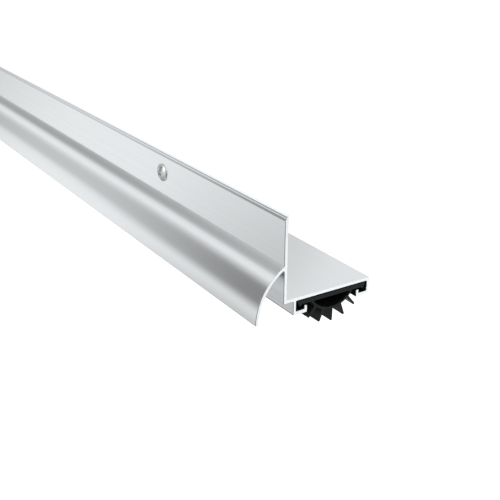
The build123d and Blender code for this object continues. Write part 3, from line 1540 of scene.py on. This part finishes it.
@dataclass
class Studio:
    """Floor, light, graded card and camera, none of which is part of the shoe.

    The card goes round the shoe. Past card_turn, low behind it, it stops at
    card_back_reach, so that the cut end mirrors the bright floor beyond. The
    paper's fibres are counted to the millimetre.
    """

    floor_height: float = -300.0
    floor_side: float = 16000.0
    paper: str = "#E3E3E3"
    paper_fibres: float = 0.9
    paper_relief: float = 0.02
    paper_lift: float = 0.62
    fill_level: float = 0.55
    room_level: float = 0.95
    card_radius: float = 280.0
    card_reach: tuple[float, float] = (-3000.0, 2500.0)
    card_angles: tuple[float, float] = (-136.0, 224.0)
    card_turn: float = 206.0
    card_back_reach: float = 520.0
    card_rows: int = 90
    lens: float = 61.92
    clip: tuple[float, float] = (5.0, 60000.0)
    camera_place: Place = (655.47, -142.08, 120.15)
    camera_azimuth: float = 57.14
    camera_elevation: float = 22.92
    camera_roll: float = 0.285
    flags: list[Flag] = field(default_factory=list)
    softboxes: list[Softbox] = field(default_factory=list)

    def seen(self, tree: Tree) -> Socket:
        """Tells what is looked at from what only lights.

        Args:
            tree: Node tree of a material or the world.

        Returns:
            1 where the camera, a mirror-like surface or glass looks, and 0 elsewhere.
        """
        path = tree.nodes.new("ShaderNodeLightPath").outputs
        mirrored = add_node(
            tree,
            "ShaderNodeMath",
            [path["Is Glossy Ray"], path["Is Transmission Ray"]],
            operation="MAXIMUM",
        )
        return add_node(
            tree, "ShaderNodeMath", [path["Is Camera Ray"], mirrored], operation="MAXIMUM"
        )

    def light_world(self) -> None:
        """Makes the world: white behind the shoe, and a plain soft fill for all else."""
        world = bpy.data.worlds.new("soft_room")
        tree = bare_tree(world)
        level = add_node(
            tree,
            "ShaderNodeMapRange",
            {"Value": self.seen(tree), "To Min": self.fill_level, "To Max": 1.0},
        )
        light = add_node(
            tree, "ShaderNodeBackground", {"Color": (1.0, 1.0, 1.0, 1.0), "Strength": level}
        )
        add_node(tree, "ShaderNodeOutputWorld", {"Surface": light})
        world.cycles.sampling_method = "NONE"
        bpy.context.scene.world = world

    def stage_object(self, name: str, mesh: bpy.types.Mesh, material: bpy.types.Material) -> Piece:
        """Makes an object that belongs to the studio and not to the shoe.

        Args:
            name: Name of the object.
            mesh: Its mesh, in metres.
            material: Its one material.

        Returns:
            The new object, in the scene.
        """
        mesh.materials.append(material)
        thing = bpy.data.objects.new(name, mesh)
        bpy.context.scene.collection.objects.link(thing)
        return thing

    def lay_floor(self) -> None:
        """Lays a pale paper floor that shows white, keeps shadows and is clear from below."""
        half, height = self.floor_side / 2 * MM, self.floor_height * MM
        corners = ((-half, -half), (half, -half), (half, half), (-half, half))
        mesh = bpy.data.meshes.new("paper_floor")
        mesh.from_pydata([(x, y, height) for x, y in corners], [], [(0, 1, 2, 3)])
        material = bpy.data.materials.new("white_paper_floor")
        tree = bare_tree(material)
        place = add_node(tree, "ShaderNodeTexCoord", output="Object")
        fibre = add_node(
            tree,
            "ShaderNodeTexNoise",
            {"Vector": place, "Scale": self.paper_fibres / MM},
            output="Fac",
        )
        grain = add_node(
            tree, "ShaderNodeBump", {"Height": fibre, "Distance": self.paper_relief * MM}
        )
        paper = add_node(
            tree, "ShaderNodeBsdfDiffuse", {"Color": linear(self.paper), "Normal": grain}
        )
        lift = add_node(
            tree,
            "ShaderNodeMapRange",
            {"Value": self.seen(tree), "To Min": 0.0, "To Max": self.paper_lift},
        )
        glow = add_node(tree, "ShaderNodeEmission", {"Strength": lift})
        lit = add_node(tree, "ShaderNodeAddShader", [paper, glow])
        clear = add_node(tree, "ShaderNodeBsdfTransparent")
        side = add_node(tree, "ShaderNodeNewGeometry", output="Backfacing")
        surface = add_node(tree, "ShaderNodeMixShader", [side, lit, clear])
        add_node(tree, "ShaderNodeOutputMaterial", {"Surface": surface})
        material.cycles.emission_sampling = "NONE"
        self.stage_object("paper_floor", mesh, material)

    def stand_card(self) -> None:
        """Bends a graded grey card all round the shoe, where only metal sees it."""
        low, high = self.card_angles
        far, near = self.card_reach
        points, faces = [], []
        for row in range(self.card_rows + 1):
            angle = math.radians(low + (high - low) * row / self.card_rows)
            across, up = -self.card_radius * math.cos(angle), self.card_radius * math.sin(angle)
            reach = near if angle < math.radians(self.card_turn) else self.card_back_reach
            points += [(x * MM, across * MM, up * MM) for x in (far, reach)]
            if row:
                faces.append((2 * row - 2, 2 * row - 1, 2 * row + 1, 2 * row))
        mesh = bpy.data.meshes.new("graded_card")
        mesh.from_pydata(points, [], faces)
        material = bpy.data.materials.new("graded_grey_card")
        tree = bare_tree(material)
        place = add_node(tree, "ShaderNodeTexCoord", output="Object")
        x, y, z = (add_node(tree, "ShaderNodeSeparateXYZ", [place], output=name) for name in "XYZ")
        ahead = add_node(tree, "ShaderNodeMath", [y, -1.0], operation="MULTIPLY")
        angle = add_node(tree, "ShaderNodeMath", [z, ahead], operation="ARCTAN2")
        level: Socket | float = self.room_level
        for flag in self.flags:
            taken = flag.taken(tree, angle, x)
            left = add_node(tree, "ShaderNodeMath", [1.0, taken], operation="SUBTRACT")
            level = add_node(tree, "ShaderNodeMath", [left, level], operation="MULTIPLY")
        shade = add_node(tree, "ShaderNodeEmission", {"Strength": level})
        add_node(tree, "ShaderNodeOutputMaterial", {"Surface": shade})
        material.cycles.emission_sampling = "NONE"
        card = self.stage_object("graded_card", mesh, material)
        card.visible_camera = card.visible_diffuse = card.visible_shadow = False

    def set_camera(self) -> None:
        """Puts the camera at the near end, above and in front of the shoe."""
        data = bpy.data.cameras.new("camera")
        data.lens = self.lens
        data.clip_start, data.clip_end = (distance * MM for distance in self.clip)
        camera = bpy.data.objects.new("camera", data)
        bpy.context.scene.collection.objects.link(camera)
        turn, rise = math.radians(self.camera_azimuth), math.radians(self.camera_elevation)
        back = Vector(
            (math.sin(turn) * math.cos(rise), -math.cos(turn) * math.cos(rise), math.sin(rise))
        )
        right = Vector((math.cos(turn), math.sin(turn), 0.0))
        up = back.cross(right)
        roll = math.radians(self.camera_roll)
        leaned = right * math.cos(roll) + up * math.sin(roll)
        raised = up * math.cos(roll) - right * math.sin(roll)
        axes = Matrix((leaned, raised, back)).transposed().to_4x4()
        camera.matrix_world = Matrix.Translation(Vector(self.camera_place) * MM) @ axes
        bpy.context.scene.camera = camera

    def build(self) -> None:
        """Sets up the whole studio."""
        bpy.context.scene.view_settings.view_transform = "Standard"
        self.light_world()
        for softbox in self.softboxes:
            softbox.hang()
        self.lay_floor()
        self.stand_card()
        self.set_camera()


# A large softbox in front and overhead, and a weaker one behind the near end
SOFTBOXES = [
    Softbox("softbox_above", power=21, side=1600, place=(100, -900, 1500), aim=(200, 0, 0)),
    Softbox("softbox_end", power=5, side=1000, place=(1700, 900, 400), aim=(400, 0, 0)),
]

# The flags that give the satin metal its dark and light bands
CARD_FLAGS = [
    # Dark strip about level with the shoe, the drip cap's lower dark band: broad and
    # black by the cut end, narrower and paler along the shoe
    Flag(angle=16.5, half_width=23, softness=22, depth=(0.77, 0.0), end=(180, 330)),
    Flag(angle=19.5, half_width=18, softness=20, depth=(0.0, 0.34)),
    # Narrow strip above it, the dark line where the drip cap meets the leg
    Flag(angle=69.8, half_width=11.3, softness=10, depth=(0.53, 0.59), end=(180, 330)),
    # Low front, dimmer towards the near end, which shades the leg
    Flag(angle=-60, half_width=35, softness=60, depth=(0.47, 0.02), run=(140, -110)),
    # Far end of the room
    Flag(angle=-40, half_width=90, softness=60, depth=(0.0, 0.32), run=(-350, -800)),
    # Under the shoe, which darkens its lower edges, and behind that the paler part
    # that the inside of the drip cap shows
    Flag(angle=-75, half_width=16, softness=8, depth=(0.85, 0.85), end=(300, 450)),
    Flag(angle=-116, half_width=24, softness=6, depth=(0.22, 0.22), end=(300, 450)),
    # Face of a strip light overhead, the bright line on the crown of the leg's tip
    Flag(angle=104, half_width=15, softness=8, depth=(-0.13, -0.13), end=(300, 450)),
    # Behind the shoe, up to well above it, which shades the top of the shelf
    Flag(angle=181, half_width=44, softness=8, depth=(0.09, 0.27), run=(185, 140)),
    # The camera's side of the room, which draws the edges of the cut end
    Flag(
        angle=0, half_width=85, softness=20, depth=(0.95, 0.0), run=(740, 690), end=(880, 980)
    ),
    # The dark behind and under the near end, which draws the far and lower edges of
    # the cut end
    Flag(
        angle=200, half_width=65, softness=20, depth=(0.35, 0.0), run=(420, 340), end=(560, 660)
    ),
    # Bare face of a lamp beside the camera, the highlight on the screw's head
    Flag(
        angle=40, half_width=29, softness=14, depth=(-1.0, 0.0), run=(330, 280), end=(540, 600)
    ),
    # Both far ends of the room, for eyes that look along the shoe
    Flag(angle=20, half_width=190, softness=20, depth=(0.0, 0.45), run=(-900, -1700)),
    Flag(angle=20, half_width=190, softness=20, depth=(0.45, 0.0), run=(1700, 900)),
]


def main() -> None:
    """Builds the studio, then each piece of the shoe in the order of its making."""
    logging.basicConfig(level=logging.INFO, format="%(name)s: %(message)s")
    Studio(flags=CARD_FLAGS, softboxes=SOFTBOXES).build()
    bar = ShoeExtrusion()
    made: list[tuple[Piece, str, str]] = [
        (bar.build(), "shoe_extrusion", "satin_aluminium"),
        (VinylSweep().build(), "vinyl_sweep", "black_vinyl"),
    ]
    first = -bar.length / 2 + bar.slot_end_inset
    for number, turn in enumerate(SCREW_TURNS, start=1):
        seat = (first + (number - 1) * bar.slot_spacing, -bar.leg_wall, bar.slot_height)
        screw = PanScrew(place=seat, turn=turn)
        made.append((screw.build(f"pan_screw_{number}"), f"fixing_screw_{number}", "screw_steel"))
    for piece, node, slot in made:
        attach(piece, "root")
        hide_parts(node)
        report(piece)


if __name__ == "__main__":
    main()
